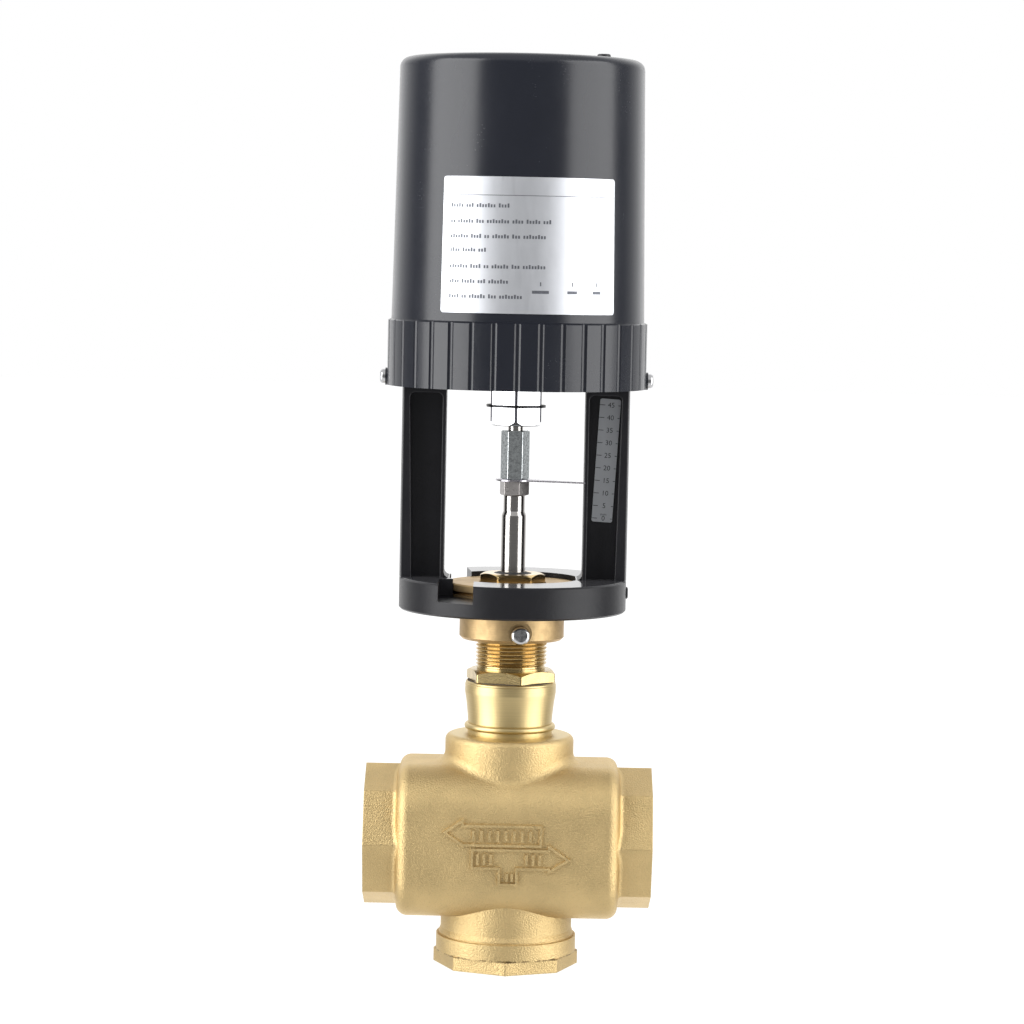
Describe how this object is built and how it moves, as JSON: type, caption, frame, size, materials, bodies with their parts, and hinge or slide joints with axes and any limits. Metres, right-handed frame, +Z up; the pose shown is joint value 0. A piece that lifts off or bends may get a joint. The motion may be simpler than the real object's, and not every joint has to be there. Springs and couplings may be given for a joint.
{
  "type": "motorised three-way zone valve",
  "caption": "Three-way globe valve with female pipe threads, driven by a linear actuator on an open yoke with a travel scale.",
  "frame": {"origin": "centre of port B's face, the lowest face of the valve body", "axes": "+Z up along the stem, +X from port A to port AB, the travel scale faces -Y"},
  "size_m": [0.114, 0.1213, 0.3619],
  "materials": {
    "cast_brass": "shot-blasted casting",
    "turned_brass": "turned",
    "stainless_steel": "turned",
    "zinc_plate": "zinc plated",
    "polished_steel": "polished",
    "screw_steel": "bright",
    "black_oxide": "black oxide",
    "black_casting": "black satin coat, ring face bright",
    "black_shell": "satin",
    "black_nylon": "satin",
    "silver_label": "satin film",
    "scale_plate": "satin film",
    "black_rubber": "matt",
    "fibre_gasket": "matt",
    "ptfe": "satin",
    "washer_steel": "plain",
    "bearing_bronze": "turned",
    "gear_plate_steel": "zinc plated",
    "gear_nylon": "moulded",
    "gear_steel": "hobbed",
    "motor_can": "drawn can",
    "circuit_green": "solder mask",
    "capacitor_case": "potted box",
    "terminal_green": "moulded",
    "switch_case": "moulded"
  },
  "bodies": {
    "housing": {"adapter_screw": "screw_steel", "board_posts": "gear_plate_steel", "board_screws": "screw_steel", "bonnet": "turned_brass", "bonnet_gasket": "fibre_gasket", "cable_gland": "black_nylon", "cable_gland_locknut": "black_nylon", "cable_gland_nut": "black_nylon", "cable_gland_seal": "black_rubber", "circuit_board": "circuit_green", "cover": "black_shell", "cover_screws": "screw_steel", "drive_bearing": "bearing_bronze", "gear_plate_screws": "screw_steel", "gear_plate_spacers": "gear_plate_steel", "gland_nut": "turned_brass", "limit_switches": "switch_case", "lower_gear_plate": "gear_plate_steel", "lower_seat_ring": "turned_brass", "motor_screws": "screw_steel", "override_plug": "black_nylon", "packing_rings": "ptfe", "packing_washer": "washer_steel", "rating_label": "silver_label", "run_capacitor": "capacitor_case", "spindle_guide": "bearing_bronze", "stem_wiper": "black_rubber", "switch_bracket": "zinc_plate", "synchronous_motor": "motor_can", "terminal_block": "terminal_green", "terminal_screws": "screw_steel", "travel_scale": "scale_plate", "upper_gear_plate": "gear_plate_steel", "valve_body": "cast_brass", "yoke": "black_casting", "yoke_adapter": "turned_brass", "yoke_set_screw": "black_oxide"},
    "stem": {"valve_plug": "turned_brass", "plug_nut": "stainless_steel", "valve_stem": "stainless_steel", "lock_nut": "stainless_steel", "travel_pointer": "zinc_plate", "coupling_nut": "zinc_plate", "coupling_stud": "stainless_steel", "retaining_ring": "black_oxide", "output_spindle": "polished_steel", "trip_arm": "zinc_plate", "trip_nut": "stainless_steel"},
    "drive_wheel": {"drive_gear": "gear_nylon"},
    "override_shaft": {"intermediate_shaft": "gear_steel", "intermediate_wheel": "gear_nylon"},
    "motor_rotor": {"motor_pinion": "gear_steel"}
  },
  "joints": [
    {"name": "stem_slide", "type": "slide", "parent": "housing", "child": "stem", "axis": [0, 0, 1], "range_m": [-0.015, 0.005]},
    {"name": "drive_spin", "type": "hinge", "parent": "housing", "child": "drive_wheel", "pos_m": [0, 0, 0.26], "axis": [0, 0, 1], "range_deg": [-450, 1350]},
    {"name": "override_spin", "type": "hinge", "parent": "housing", "child": "override_shaft", "pos_m": [0.03175, -0.004, 0.26], "axis": [0, 0, 1], "range_deg": [-4821.5, 1607.2]},
    {"name": "motor_spin", "type": "hinge", "parent": "housing", "child": "motor_rotor", "pos_m": [0.02308, 0.01108, 0.269], "axis": [0, 0, 1], "range_deg": [-6160.8, 18482.2]}
  ],
  "couplings": [
    {"joint": "drive_spin", "follows": "stem_slide", "rad_per_m": -1570.8},
    {"joint": "override_spin", "follows": "stem_slide", "rad_per_m": 5610},
    {"joint": "motor_spin", "follows": "stem_slide", "rad_per_m": -21505}
  ]
}
